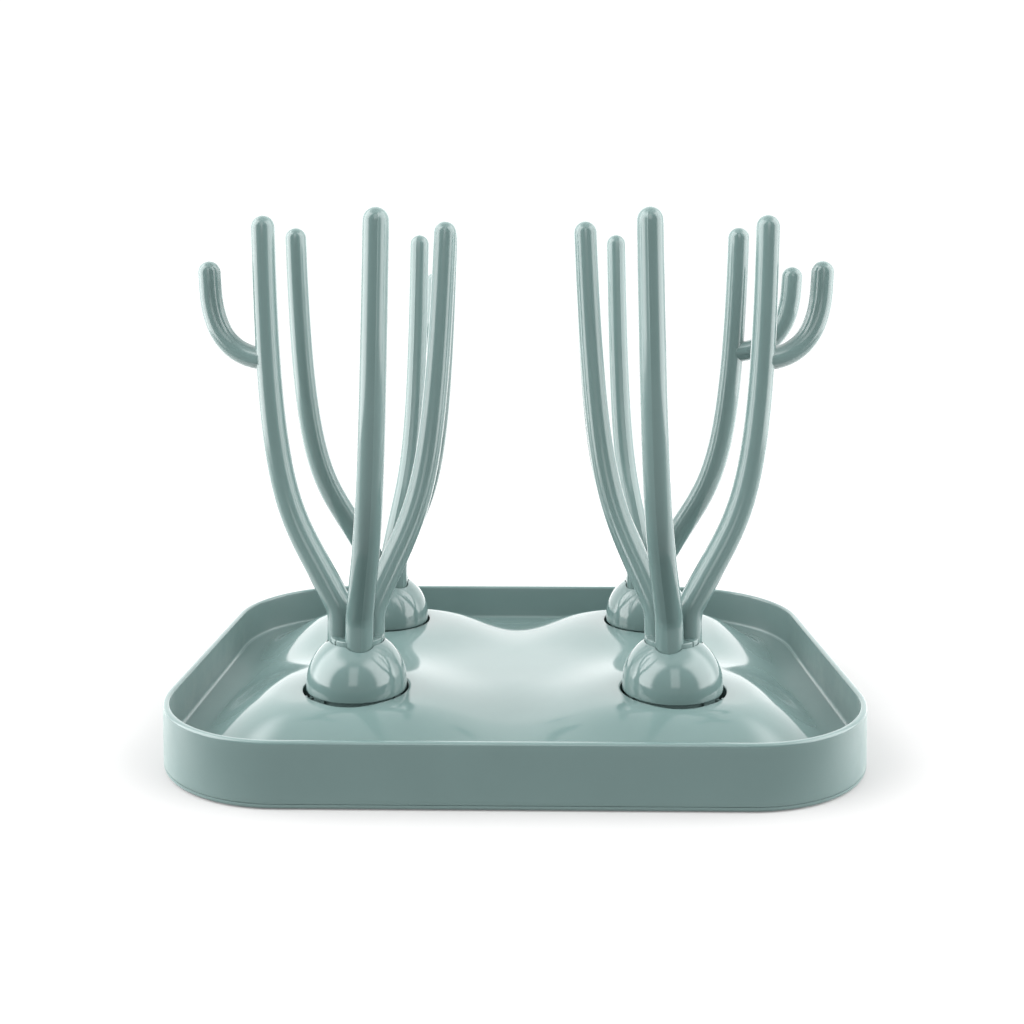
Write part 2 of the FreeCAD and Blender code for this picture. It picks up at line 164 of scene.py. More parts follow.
def plastic(name, colour, roughness, grain, ripple, speck=0.5):
    """Moulded plastic: cloudy colour, fine specks, uneven gloss, a fine skin and soft ripples.

    grain is the depth of the fine skin and ripple that of the slow waves, both in metres."""
    material = bpy.data.materials.new(name)
    material.use_nodes = True
    tree = material.node_tree
    shader = tree.nodes["Principled BSDF"]
    place = node(tree, "ShaderNodeTexCoord").outputs["Object"]
    link = tree.links.new

    cloud = node(tree, "ShaderNodeTexNoise", Scale=38.0, Detail=5.0, Roughness=0.6)
    link(place, cloud.inputs["Vector"])
    tint = node(tree, "ShaderNodeMix", data_type="RGBA")
    tint.inputs[6].default_value = [0.93 * c for c in colour] + [1.0]
    tint.inputs[7].default_value = [min(1.0, 1.06 * c) for c in colour] + [1.0]
    link(cloud.outputs["Fac"], tint.inputs[0])

    dots = node(tree, "ShaderNodeTexVoronoi", Scale=240.0, Randomness=1.0)
    link(place, dots.inputs["Vector"])
    core = node(tree, "ShaderNodeMapRange", From_Min=0.03, From_Max=0.075, To_Min=1.0, To_Max=0.0)
    link(dots.outputs["Distance"], core.inputs["Value"])
    picked = node(tree, "ShaderNodeMapRange", From_Min=0.94, From_Max=0.95)
    link(dots.outputs["Color"], picked.inputs["Value"])
    spot = node(tree, "ShaderNodeMath", operation="MULTIPLY")
    link(core.outputs["Result"], spot.inputs[0])
    link(picked.outputs["Result"], spot.inputs[1])
    strength = node(tree, "ShaderNodeMath", operation="MULTIPLY")
    strength.inputs[1].default_value = speck
    link(spot.outputs[0], strength.inputs[0])
    specked = node(tree, "ShaderNodeMix", data_type="RGBA")
    specked.inputs[7].default_value = [0.35 * c for c in colour] + [1.0]
    link(strength.outputs[0], specked.inputs[0])
    link(tint.outputs[2], specked.inputs[6])
    link(specked.outputs[2], shader.inputs["Base Color"])

    rub = node(tree, "ShaderNodeTexNoise", Scale=70.0, Detail=6.0, Roughness=0.65)
    link(place, rub.inputs["Vector"])
    gloss = node(tree, "ShaderNodeMapRange", From_Min=0.3, From_Max=0.7)
    gloss.inputs["To Min"].default_value = 0.85 * roughness
    gloss.inputs["To Max"].default_value = 1.2 * roughness
    link(rub.outputs["Fac"], gloss.inputs["Value"])
    link(gloss.outputs["Result"], shader.inputs["Roughness"])

    skin = node(tree, "ShaderNodeTexNoise", Scale=2600.0, Detail=2.0)
    link(place, skin.inputs["Vector"])
    fine = node(tree, "ShaderNodeBump", Strength=1.0, Distance=grain)
    link(skin.outputs["Fac"], fine.inputs["Height"])
    waves = node(tree, "ShaderNodeTexNoise", Scale=42.0, Detail=1.0)
    link(place, waves.inputs["Vector"])
    slow = node(tree, "ShaderNodeBump", Strength=1.0, Distance=ripple)
    link(waves.outputs["Fac"], slow.inputs["Height"])
    link(fine.outputs["Normal"], slow.inputs["Normal"])
    link(slow.outputs["Normal"], shader.inputs["Normal"])

    shader.inputs["IOR"].default_value = 1.5
    return material


SAGE = (0.108, 0.165, 0.159)
PAD_GREY = (0.16, 0.22, 0.20)
floor_gloss = plastic("tray_gloss", SAGE, 0.085, 0.0, 0.00006, speck=0.7)
wall_satin = plastic("tray_satin", SAGE, 0.36, 0.000004, 0.00002, speck=0.8)
branch_satin = plastic("branch_satin", SAGE, 0.14, 0.000002, 0.00002, speck=0.3)
dome_gloss = plastic("dome_gloss", SAGE, 0.10, 0.0, 0.00003, speck=0.2)
hidden_matte = plastic("hidden_matte", SAGE, 0.45, 0.000006, 0.00002)
pad_rubber = plastic("pad_rubber", PAD_GREY, 0.75, 0.00001, 0.0, speck=0.0)


def steel(name):
    """Bright steel with an uneven polish."""
    material = bpy.data.materials.new(name)
    material.use_nodes = True
    tree = material.node_tree
    shader = tree.nodes["Principled BSDF"]
    rub = node(tree, "ShaderNodeTexNoise", Scale=900.0, Detail=4.0)
    tree.links.new(node(tree, "ShaderNodeTexCoord").outputs["Object"], rub.inputs["Vector"])
    gloss = node(tree, "ShaderNodeMapRange", To_Min=0.25, To_Max=0.5)
    tree.links.new(rub.outputs["Fac"], gloss.inputs["Value"])
    tree.links.new(gloss.outputs["Result"], shader.inputs["Roughness"])
    shader.inputs["Base Color"].default_value = (0.72, 0.72, 0.70, 1.0)
    shader.inputs["Metallic"].default_value = 1.0
    return material


screw_steel = steel("screw_steel")


# ---- mesh helpers ------------------------------------------------------------------------
def new_object(name, points, faces, materials, face_materials=None):
    """A smooth-shaded mesh object in metres, doubled points joined and faces turned outwards."""
    mesh = bpy.data.meshes.new(name)
    mesh.from_pydata([tuple(p) for p in np.asarray(points) * MM], [], faces)
    for material in materials:
        mesh.materials.append(material)
    if face_materials is not None:
        mesh.polygons.foreach_set("material_index", face_materials)
    made = bmesh.new()
    made.from_mesh(mesh)
    bmesh.ops.remove_doubles(made, verts=made.verts, dist=2e-6)
    bmesh.ops.dissolve_degenerate(made, edges=made.edges, dist=1e-7)
    bmesh.ops.recalc_face_normals(made, faces=made.faces)
    made.to_mesh(mesh)
    made.free()
    shade(mesh)
    thing = bpy.data.objects.new(name, mesh)
    bpy.context.scene.collection.objects.link(thing)
    return thing


def shade(mesh):
    """Smooth shading with hard edges where faces meet sharply."""
    mesh.polygons.foreach_set("use_smooth", [True] * len(mesh.polygons))
    mesh.set_sharp_from_angle(angle=math.radians(SHARP_DEGREES))


def grid_faces(rows, columns, first=0, wrap_columns=False, wrap_rows=False):
    """Quads between rows of points that were listed row by row."""
    faces = []
    for i in range(rows if wrap_rows else rows - 1):
        for j in range(columns if wrap_columns else columns - 1):
            a = first + i * columns + j
            b = first + i * columns + (j + 1) % columns
            c = first + ((i + 1) % rows) * columns + (j + 1) % columns
            d = first + ((i + 1) % rows) * columns + j
            faces.append((a, b, c, d))
    return faces


def arc(centre, radius, start, end, steps):
    """Points (a, b) on an arc, angles in degrees."""
    angles = np.radians(np.linspace(start, end, steps + 1))
    return [(centre[0] + radius * math.cos(t), centre[1] + radius * math.sin(t)) for t in angles]


def combined(target, other, operation):
    """Adds another object's solid to the target, or cuts it away, and removes the other."""
    step = target.modifiers.new("combine", "BOOLEAN")
    step.operation = operation
    step.solver = "EXACT"
    step.use_self = operation == "DIFFERENCE"
    step.object = other
    settle(target)
    bpy.data.objects.remove(other)
    return target


def settle(thing):
    """Applies the modifiers of an object to its mesh."""
    bpy.context.view_layer.update()
    evaluated = thing.evaluated_get(bpy.context.evaluated_depsgraph_get())
    finished = bpy.data.meshes.new_from_object(evaluated)
    thing.modifiers.clear()
    thing.data = finished
    shade(finished)


# ---- tray --------------------------------------------------------------------------------
def floor_height(x, y):
    """Top of the floor: four mounds joined by a low saddle, and a level channel along the wall."""
    low_ground = 1.0
    for sx in (-1, 1):
        for sy in (-1, 1):
            far = np.hypot(x - sx * TREE_X, y - sy * TREE_Y)
            t = np.clip((far - MOUND_FLAT_RADIUS) / (MOUND_FOOT_RADIUS - MOUND_FLAT_RADIUS), 0, 1)
            low_ground = low_ground * (0.5 - 0.5 * np.cos(np.pi * t))
    t = np.clip(np.hypot(x, y) / SADDLE_RADIUS, 0, 1)
    low_ground = low_ground * (1 - SADDLE_SHARE * (0.5 + 0.5 * np.cos(np.pi * t)))
    radius = TRAY_CORNER - WALL
    qx = np.abs(x) - (HALF_X - TRAY_CORNER)
    qy = np.abs(y) - (HALF_Y - TRAY_CORNER)
    past = np.hypot(np.maximum(qx, 0), np.maximum(qy, 0)) + np.minimum(np.maximum(qx, qy), 0)
    inside = radius - past
    t = np.clip((inside - CHANNEL_FLAT) / (CHANNEL_SLOPE_END - CHANNEL_FLAT), 0, 1)
    climbed = np.where(t < FOOT_SHARE, t * t / (2 * FOOT_SHARE), t - FOOT_SHARE / 2)
    share = (1.0 - low_ground) * np.sin(np.pi / 2 * climbed / (1 - FOOT_SHARE / 2))
    return CHANNEL_HEIGHT + (MOUND_HEIGHT - CHANNEL_HEIGHT) * share


def quarter_rays(inset, count):
    """Where rays from the tree's axis leave the front right quarter of the tray's inside.

    Returns the ray directions, their lengths, and for rays that meet the wall its outward
    direction; the others end on the tray's middle lines and have None."""
    a, b = HALF_X - inset, HALF_Y - inset
    arc_centre = Vector((HALF_X - TRAY_CORNER, HALF_Y - TRAY_CORNER))
    arc_radius = TRAY_CORNER - inset
    special = [math.atan2(y - TREE_Y, x - TREE_X) for x, y in ((0, 0), (a, 0), (0, b))]
    angles = sorted(set([2 * math.pi * k / count - math.pi for k in range(count)] + special))
    rays = []
    for angle in angles:
        dx, dy = math.cos(angle), math.sin(angle)
        ends = []
        if dx > 1e-9:
            ends.append(((a - TREE_X) / dx, Vector((1, 0))))
        if dy > 1e-9:
            ends.append(((b - TREE_Y) / dy, Vector((0, 1))))
        if dx < -1e-9:
            ends.append((-TREE_X / dx, None))
        if dy < -1e-9:
            ends.append((-TREE_Y / dy, None))
        length, outward = min(ends, key=lambda e: e[0])
        x, y = TREE_X + dx * length, TREE_Y + dy * length
        if outward is not None and x > arc_centre.x + 1e-9 and y > arc_centre.y + 1e-9:
            fx, fy = TREE_X - arc_centre.x, TREE_Y - arc_centre.y
            along = fx * dx + fy * dy
            length = -along + math.sqrt(along * along - (fx * fx + fy * fy - arc_radius**2))
            x, y = TREE_X + dx * length, TREE_Y + dy * length
            outward = Vector((x - arc_centre.x, y - arc_centre.y)).normalized()
        if outward is None and (abs(x - a) < 1e-6 or abs(y - b) < 1e-6):
            outward = Vector((1, 0)) if abs(x - a) < 1e-6 else Vector((0, 1))
        rays.append((dx, dy, length, outward))
    return rays


def wall_profile():
    """The wall's section from the floor fillet over the rim to the seam and up the hidden inside.

    Points are (distance outwards from the foot of the fillet, height)."""
    inner, outer = FLOOR_FILLET, FLOOR_FILLET + WALL
    top = RIM_HEIGHT - RIM_ROUNDING
    points = arc((0, CHANNEL_HEIGHT + FLOOR_FILLET), FLOOR_FILLET, -90, 0, 8)
    points += [(inner, z) for z in np.linspace(CHANNEL_HEIGHT + FLOOR_FILLET, top, 8)[1:-1]]
    points += arc((inner + RIM_ROUNDING, top), RIM_ROUNDING, 180, 90, 8)
    points += arc((outer - RIM_ROUNDING, top), RIM_ROUNDING, 90, 0, 8)
    points += [(outer, z) for z in np.linspace(top, TRAY_BOTTOM + SEAM_ROUNDING, 10)[1:-1]]
    points += arc((outer - SEAM_ROUNDING, TRAY_BOTTOM + SEAM_ROUNDING), SEAM_ROUNDING, 0, -90, 4)
    points += [(inner, TRAY_BOTTOM), (inner, CHANNEL_HEIGHT - FLOOR_THICKNESS)]
    return points


def make_tray_skin():
    """The whole tray as one closed skin: four mirrored quarters round the four sockets."""
    rays = quarter_rays(WALL + FLOOR_FILLET, TRAY_RAYS)
    count = len(rays)
    direction = np.array([(r[0], r[1]) for r in rays])
    length = np.array([r[2] for r in rays])
    centre = np.array([TREE_X, TREE_Y])
    points, faces, materials = [], [], []

    def add_rings(rings, material):
        """Adds the closed rings and the faces between them."""
        first = len(points)
        for ring in rings:
            points.extend(ring)
        new = grid_faces(len(rings), count, first, wrap_columns=True)
        faces.extend(new)
        materials.extend([material] * len(new))

    def level_ring(radius, z):
        """A ring round the socket; z is one height or one for every ray."""
        at = centre + direction * radius
        return [(x, y, height) for (x, y), height in zip(at, np.broadcast_to(z, count))]

    start = SOCKET_RADIUS + LIP_ROUNDING
    brink = centre + direction * start
    edge = floor_height(brink[:, 0], brink[:, 1])
    outer = centre + direction * SOCKET_OUTER
    under = floor_height(outer[:, 0], outer[:, 1]) - FLOOR_THICKNESS
    socket = [level_ring(SOCKET_OUTER, under), level_ring(SOCKET_OUTER, SOCKET_FLOOR)]
    socket += [level_ring(SOCKET_OPENING, SOCKET_FLOOR), level_ring(SOCKET_OPENING, SEAT_HEIGHT)]
    socket += [level_ring(SOCKET_RADIUS, SEAT_HEIGHT)]
    for reach, drop in arc((start, -LIP_ROUNDING), LIP_ROUNDING, 180, 90, 5):
        socket.append(level_ring(reach, edge + drop))
    add_rings(socket, 0)

    rings = []
    for s in np.linspace(0, 1, FLOOR_ROWS + 1):
        at = centre + direction * (start + (length - start) * s)[:, None]
        height = floor_height(at[:, 0], at[:, 1])
        rings.append([(x, y, z) for (x, y), z in zip(at, height)])
    add_rings(rings, 0)

    wall_rays = [k for k in range(count) if rays[k][3] is not None]
    profile = wall_profile()
    first = len(points)
    foot = centre + direction * length[:, None]
    for out, z in profile:
        for k in wall_rays:
            outward = rays[k][3]
            points.append((foot[k][0] + outward.x * out, foot[k][1] + outward.y * out, z))
    walls = grid_faces(len(profile), len(wall_rays), first)
    faces.extend(walls)
    for row, (_, z) in enumerate(profile[:-1]):
        glossy = row < 4 or z > RIM_HEIGHT - 0.9 * RIM_ROUNDING
        materials.extend([0 if glossy else 1] * (len(wall_rays) - 1))

    end = np.zeros((count, 2))
    for k in range(count):
        reach = FLOOR_FILLET if rays[k][3] is not None else 0.0
        out = rays[k][3] or Vector((0, 0))
        end[k] = foot[k] + np.array([out.x, out.y]) * reach
    rings = []
    inner_ring = centre + direction * SOCKET_OUTER
    for s in np.linspace(0, 1, UNDERSIDE_ROWS + 1):
        at = inner_ring + (end - inner_ring) * s
        height = floor_height(at[:, 0], at[:, 1]) - FLOOR_THICKNESS
        rings.append([(x, y, z) for (x, y), z in zip(at, height)])
    add_rings(rings, 1)

    points = np.array(points)
    all_points, all_faces, all_materials = [], [], []
    for sx in (1, -1):
        for sy in (1, -1):
            first = len(all_points) * len(points)
            all_points.append(points * np.array([sx, sy, 1]))
            for face in faces:
                turned = face if sx * sy > 0 else face[::-1]
                all_faces.append(tuple(first + v for v in turned))
            all_materials.extend(materials)
    slots = [floor_gloss, wall_satin]
    skin = new_object("tray_skin", np.vstack(all_points), all_faces, slots, all_materials)
    return combined(skin, make_key_ribs(), "UNION")


def make_key_ribs():
    """The stepped ribs in the sockets that keep the trees from turning."""
    outer, bottom = SOCKET_RADIUS + 1, SEAT_HEIGHT - 1
    section = [(KEY_INNER, bottom), (KEY_INNER, KEY_TOP), (KEY_CREST_INNER, KEY_TOP)]
    section += [(KEY_CREST_INNER, KEY_CREST_TOP), (outer, KEY_CREST_TOP), (outer, bottom)]
    count = len(section)
    points, faces = [], []
    for sx, sy, _, _ in TREES.values():
        first = len(points)
        heading = KEY_RIB_ANGLE * sx * sy + (180 if sx < 0 else 0)
        turn = Matrix.Rotation(math.radians(heading), 3, "Z")
        middle = Vector((sx * TREE_X, sy * TREE_Y, 0))
        for side in (-KEY_WIDTH / 2, KEY_WIDTH / 2):
            for reach, z in section:
                points.append(turn @ Vector((reach, side, z)) + middle)
        faces.append(tuple(range(first, first + count)))
        faces.append(tuple(range(first + count, first + 2 * count))[::-1])
        for k in range(count):
            a, b = first + k, first + (k + 1) % count
            faces.append((b, a, a + count, b + count))
    return new_object("key_ribs", points, faces, [floor_gloss])


# ---- one tree, standing on the Z axis with its forked branch along +X --------------------
def opening_radius(angle):
    """Reach of the dome's three-lobed opening in the direction of an angle, in radians."""
    reach = NECK_RADIUS + HOLE_GAP
    lobe = ROOT_RADIUS + HOLE_GAP
    for turn in TURNS.values():
        off = angle - math.radians(turn)
        across = ROD_CENTRE * math.sin(off)
        if math.cos(off) > 0 and abs(across) < lobe:
            reach = max(reach, ROD_CENTRE * math.cos(off) + math.sqrt(lobe**2 - across**2))
    return reach


def bend(a, b, c, steps):
    """Points on a soft corner from a to c, drawn towards b."""
    made = []
    for t in np.linspace(0, 1, steps + 1):
        u = 1 - t
        made.append(tuple(u * u * p + 2 * u * t * q + t * t * r for p, q, r in zip(a, b, c)))
    return made


def dome_section(angle):
    """Closed section of the dome at one angle, as (radius, height) points."""
    soft = DOME_ROUNDING
    inner = DOME_RADIUS - DOME_WALL
    reach = opening_radius(angle)
    brink = math.degrees(math.acos((reach + soft) / DOME_RADIUS))
    ceiling = math.degrees(math.asin((DOME_CEILING - DOME_CENTRE) / inner))
    corner = (reach, DOME_CENTRE + math.sqrt(DOME_RADIUS**2 - reach**2))
    foot = (SKIRT_RADIUS, SEAT_HEIGHT)
    edge = (DOME_RADIUS, DOME_EDGE)
    points = [(SKIRT_BORE, SKIRT_BORE_TOP), (SKIRT_BORE, SEAT_HEIGHT)]
    points += bend((foot[0] - soft, foot[1]), foot, (foot[0], foot[1] + soft), 3)
    points += [(SKIRT_RADIUS, z) for z in np.linspace(SEAT_HEIGHT + soft, DOME_EDGE, 7)[1:]]
    points += bend((edge[0] - soft, edge[1]), edge, (edge[0], edge[1] + soft), 4)
    points += arc((0, DOME_CENTRE), DOME_RADIUS, 0, brink, 40)
    points += bend(points[-1], corner, (reach, corner[1] - 1.3 * soft), 4)[1:]
    points += [(reach, DOME_CEILING)]
    points += arc((0, DOME_CENTRE), inner, ceiling, 0, 8)
    return points


def make_dome_master():
    """The dome with its notched skirt, on the Z axis."""
    count = 240
    angles = [2 * math.pi * k / count for k in range(count)]
    sections = [dome_section(a) for a in angles]
    points = []
    for a, section in zip(angles, sections):
        points += [(r * math.cos(a), r * math.sin(a), z) for r, z in section]
    faces = grid_faces(count, len(sections[0]), wrap_rows=True, wrap_columns=True)
    dome = new_object("dome_master", points, faces, [dome_gloss])
    corners, sides = [], []
    for turn in TURNS.values():
        for side in (-KEY_ANGLE, KEY_ANGLE):
            a = math.radians(turn + side)
            out = np.array([math.cos(a), math.sin(a), 0])
            along = np.array([-math.sin(a), math.cos(a), 0]) * NOTCH_WIDTH / 2
            first = len(corners)
            inner, outer = NOTCH_DEPTH_RADIUS, SKIRT_RADIUS + 1
            for z in (SEAT_HEIGHT - 1, NOTCH_TOP):
                for reach, turned in ((inner, -1), (outer, -1), (outer, 1), (inner, 1)):
                    corners.append(out * reach + along * turned + np.array([0, 0, z]))
            sides += [tuple(first + v for v in face) for face in (
                (3, 2, 1, 0), (4, 5, 6, 7), (0, 1, 5, 4), (1, 2, 6, 5), (2, 3, 7, 6), (3, 0, 4, 7))]
    return combined(dome, new_object("notches", corners, sides, [dome_gloss]), "DIFFERENCE")


def bezier(points, t):
    """A point of a cubic curve with (reach, height) handles, and its lean from upright."""
    (r0, z0), (r1, z1), (r2, z2), (r3, z3) = points
    u = 1 - t
    r = u**3 * r0 + 3 * u * u * t * r1 + 3 * u * t * t * r2 + t**3 * r3
    z = u**3 * z0 + 3 * u * u * t * z1 + 3 * u * t * t * z2 + t**3 * z3
    dr = u * u * (r1 - r0) + 2 * u * t * (r2 - r1) + t * t * (r3 - r2)
    dz = u * u * (z1 - z0) + 2 * u * t * (z2 - z1) + t * t * (z3 - z2)
    return r, z, math.atan2(dr, dz)


def rod_radius(z):
    """Radius of a branch at a height: it tapers quickly at first and then more slowly."""
    u = min(max((z - TAPER_START) / (TIP_TOP - TAPER_START), 0.0), 1.0)
    return TIP_RADIUS + (ROOT_RADIUS - TIP_RADIUS) * (1 - u) ** 2


def branch_line():
    """Stations along a branch's middle line as (reach, height, lean)."""
    stations = [(ROD_CENTRE, z, 0.0) for z in np.linspace(FLANGE_BOTTOM + 1, BEND_START, 8)[:-1]]
    lean = math.radians(LEAN)
    for a in np.linspace(0, lean, 9):
        r = ROD_CENTRE + BEND_RADIUS * (1 - math.cos(a))
        stations.append((r, BEND_START + BEND_RADIUS * math.sin(a), a))
    r, z, _ = stations[-1]
    end = (r + (LEAN_END - z) * math.tan(lean), LEAN_END)
    bow = [end, BOW_LOW, BOW_HIGH, (TIP_REACH, TIP_TOP - TIP_RADIUS)]
    return stations + [bezier(bow, t) for t in np.linspace(0, 1, 81)]


def twig_line():
    """Stations along the side twig's middle line as (reach, height, lean)."""
    stations = [bezier(TWIG_CURVE, t) for t in np.linspace(0, 1, 41)]
    return stations + [(TWIG_REACH, TWIG_TOP - TWIG_RADIUS, stations[-1][2])]


def section_angles():
    """Angles round a rod, closer together at its two parting lines."""
    close = [0.0, 1.3, 2.6, 4.2]
    angles = {10.0 * k for k in range(36)}
    for middle in (0.0, 180.0):
        angles |= {(middle + side * a) % 360 for a in close for side in (-1, 1)}
    return [math.radians(a) for a in sorted(angles)]


def make_rod(name, stations, radius_at):
    """A round rod with a ball end, and a fine parting ridge along its inner and outer side."""
    angles = section_angles()
    points = []

    def ring(r, z, lean, radius, ridge):
        """Adds one section of the rod; ridge is the share of the parting ridge that it keeps."""
        for a in angles:
            off = min(a, 2 * math.pi - a, abs(a - math.pi)) * radius / PARTING_WIDTH
            reach = radius - PARTING_HEIGHT + PARTING_HEIGHT * ridge * math.exp(-off * off)
            across = reach * math.cos(a)
            x, y = r + across * math.cos(lean), reach * math.sin(a)
            points.append((x, y, z - across * math.sin(lean)))

    for r, z, lean in stations:
        ring(r, z, lean, radius_at(z), 1.0)
    r, z, lean = stations[-1]
    radius = radius_at(z)
    for rise in np.linspace(0, 90, 13)[1:-1]:
        up = radius * math.sin(math.radians(rise))
        shrink = math.cos(math.radians(rise))
        ring(r + up * math.sin(lean), z + up * math.cos(lean), lean, radius * shrink, shrink)
    rows = len(points) // len(angles)
    faces = grid_faces(rows, len(angles), wrap_columns=True)
    faces.append(tuple(range(len(angles)))[::-1])
    pole = len(points)
    tall = radius - PARTING_HEIGHT
    points.append((r + tall * math.sin(lean), 0.0, z + tall * math.cos(lean)))
    last = (rows - 1) * len(angles)
    for k in range(len(angles)):
        faces.append((last + k, last + (k + 1) % len(angles), pole))
    return new_object(name, points, faces, [branch_satin])


def make_wedge(name, radius, bottom, top, soft):
    """A third of a disc with softened edges: one branch's share of the round neck or flange."""
    flank = math.asin(SPLIT_GAP * math.sin(math.radians(60)) / radius)
    spread = math.radians(60) - flank
    outline = [(SPLIT_GAP, 0.0)]
    for a in np.linspace(-spread, spread, 25):
        outline.append((radius * math.cos(a), radius * math.sin(a)))
    count = len(outline)
    points = [(x, y, bottom) for x, y in outline] + [(x, y, top) for x, y in outline]
    faces = [tuple(range(count))[::-1], tuple(range(count, 2 * count))]
    faces += [(k, (k + 1) % count, count + (k + 1) % count, count + k) for k in range(count)]
    wedge = new_object(name, points, faces, [branch_satin])
    rounding = wedge.modifiers.new("rounding", "BEVEL")
    rounding.width = soft * MM
    rounding.segments = 3
    rounding.limit_method = "ANGLE"
    rounding.angle_limit = math.radians(40)
    settle(wedge)
    return wedge


def make_branch_master(name, forked):
    """A whole branch, bowed towards +X: rod, its third of the neck and flange, and any twig."""
    branch = make_rod(name, branch_line(), rod_radius)
    flange_top = DOME_CEILING - CEILING_GAP
    parts = [
        make_wedge("neck", NECK_RADIUS, FLANGE_BOTTOM, NECK_TOP, NECK_ROUNDING),
        make_wedge("flange", FLANGE_RADIUS, FLANGE_BOTTOM, flange_top, FLANGE_ROUNDING),
    ]
    if forked:
        parts.append(make_rod("twig", twig_line(), lambda z: TWIG_RADIUS))
    for part in parts:
        combined(branch, part, "UNION")
    return branch


def place_copy(master, name, tree, turn):
    """Sets a copy of a master piece in its tree, riding on the tree's body."""
    copy = bpy.data.objects.new(name, master.data.copy())
    bpy.context.scene.collection.objects.link(copy)
    sx, sy, _, lean = TREES[tree]
    edge = Matrix.Translation(Vector((-sx * SKIRT_RADIUS, 0, SEAT_HEIGHT)) * MM)
    spot = Matrix.Translation((sx * TREE_X * MM, sy * TREE_Y * MM, 0))
    tipped = edge @ Matrix.Rotation(math.radians(-sx * lean), 4, "Y") @ edge.inverted()
    copy.data.transform(spot @ tipped @ Matrix.Rotation(math.radians(turn), 4, "Z"))
    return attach(copy, f"{tree}_tree")


def make_trees():
    """Places the domes and branches of the four trees from one master of each kind."""
    masters = {
        "dome": make_dome_master(),
        "plain": make_branch_master("plain_master", False),
        "forked": make_branch_master("forked_master", True),
    }
    for tree, (_, _, heading, _) in TREES.items():
        shell = place_copy(masters["dome"], f"{tree}_dome_shell", tree, heading)
        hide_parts(f"{tree}_dome")
        for branch, turn in TURNS.items():
            kind = "forked" if branch == "forked_branch" else "plain"
            rod = place_copy(masters[kind], f"{tree}_{branch}_moulding", tree, heading + turn)
            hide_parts(f"{tree}_{branch}")
    for master in masters.values():
        bpy.data.objects.remove(master)


# ---- carried-over pieces -----------------------------------------------------------------
def dress_cad_nodes():
    """Gives the pieces that keep their design solids a finished material."""
    for name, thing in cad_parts.items():
        material = hidden_matte
        if name.endswith("_pad"):
            material = pad_rubber
        elif name == "base_screws":
            material = screw_steel
        elif name == "base_cover":
            material = wall_satin
        if not thing.material_slots:
            thing.data.materials.append(material)
        for entry in thing.material_slots:
            entry.material = material


# ---- studio ------------------------------------------------------------------------------
# Light by direction; pairs are the parts of the unit direction where a fade starts and ends.
ROOM_DIM = 0.22                 # from the front
BACKDROP_BRIGHT = 2.0           # added round the back and the sides
BACKDROP_FRONT = (-0.70, -0.30)
BACKDROP_TOP = (1.20, 0.75)
PANEL_LEFT_BRIGHT = 5.4         # added by the panels to the left and right
PANEL_RIGHT_BRIGHT = 4.2
PANEL_SIDE = (0.20, 0.40)
PANEL_FRONT = (-0.64, -0.50)
PANEL_BACK = (0.50, 0.20)
PANEL_TOP = (0.92, 0.70)
LAMP_BRIGHT = 2.6               # added by the small tall lamp in front
LAMP_SIDE = (0.20, 0.14)
LAMP_LOW = (0.08, 0.16)
LAMP_TOP = (0.78, 0.70)
LAMP_FRONT = (-0.2, -0.3)
TABLE_SIZE = 1.5
TABLE_DROP = 0.0003             # keeps the table just below the pads
TABLE_SHADES = (0.18, 0.85)     # how much light the table gives back in front and at the back
TABLE_FADE = (-0.13, -0.08)     # and where it changes between them
TABLE_WHITE = 0.36              # the table as the eye sees it: its white and its glow
TABLE_GLOW = 0.17
ROOM_WHITE = 1.1                # the room as the eye sees it

CAMERA_LENS = 39.51
CAMERA_SHIFT = -0.17
CAMERA_PLACE = (0.00595, -0.50495, 0.18287)
CAMERA_DOWN = 2.0               # degrees below level
CAMERA_TURN = 0.862             # degrees to the left of straight back


def make_table():
    """A white table for the eye that throws little light back up at the rack."""
    bpy.ops.mesh.primitive_plane_add(size=TABLE_SIZE, location=(0, 0, -TABLE_DROP))
    table = bpy.context.object
    table.name = "table"
    material = bpy.data.materials.new("table_white")
    material.use_nodes = True
    tree = material.node_tree
    tree.nodes.clear()
    link = tree.links.new
    way = node(tree, "ShaderNodeSeparateXYZ")
    link(node(tree, "ShaderNodeTexCoord").outputs["Object"], way.inputs[0])
    grey = node(tree, "ShaderNodeMapRange", interpolation_type="SMOOTHSTEP")
    for name, value in zip(("From Min", "From Max", "To Min", "To Max"), TABLE_FADE + TABLE_SHADES):
        grey.inputs[name].default_value = value
    link(way.outputs["Y"], grey.inputs["Value"])
    dim = node(tree, "ShaderNodeBsdfDiffuse")
    link(grey.outputs["Result"], dim.inputs["Color"])
    white = node(tree, "ShaderNodeBsdfDiffuse")
    white.inputs["Color"].default_value = (TABLE_WHITE, TABLE_WHITE, TABLE_WHITE, 1)
    glow = node(tree, "ShaderNodeEmission", Strength=TABLE_GLOW)
    seen = node(tree, "ShaderNodeAddShader")
    link(white.outputs[0], seen.inputs[0])
    link(glow.outputs[0], seen.inputs[1])
    choice = node(tree, "ShaderNodeMixShader")
    link(node(tree, "ShaderNodeLightPath").outputs["Is Camera Ray"], choice.inputs["Fac"])
    link(dim.outputs[0], choice.inputs[1])
    link(seen.outputs[0], choice.inputs[2])
    link(choice.outputs[0], node(tree, "ShaderNodeOutputMaterial").inputs["Surface"])
    table.data.materials.append(material)


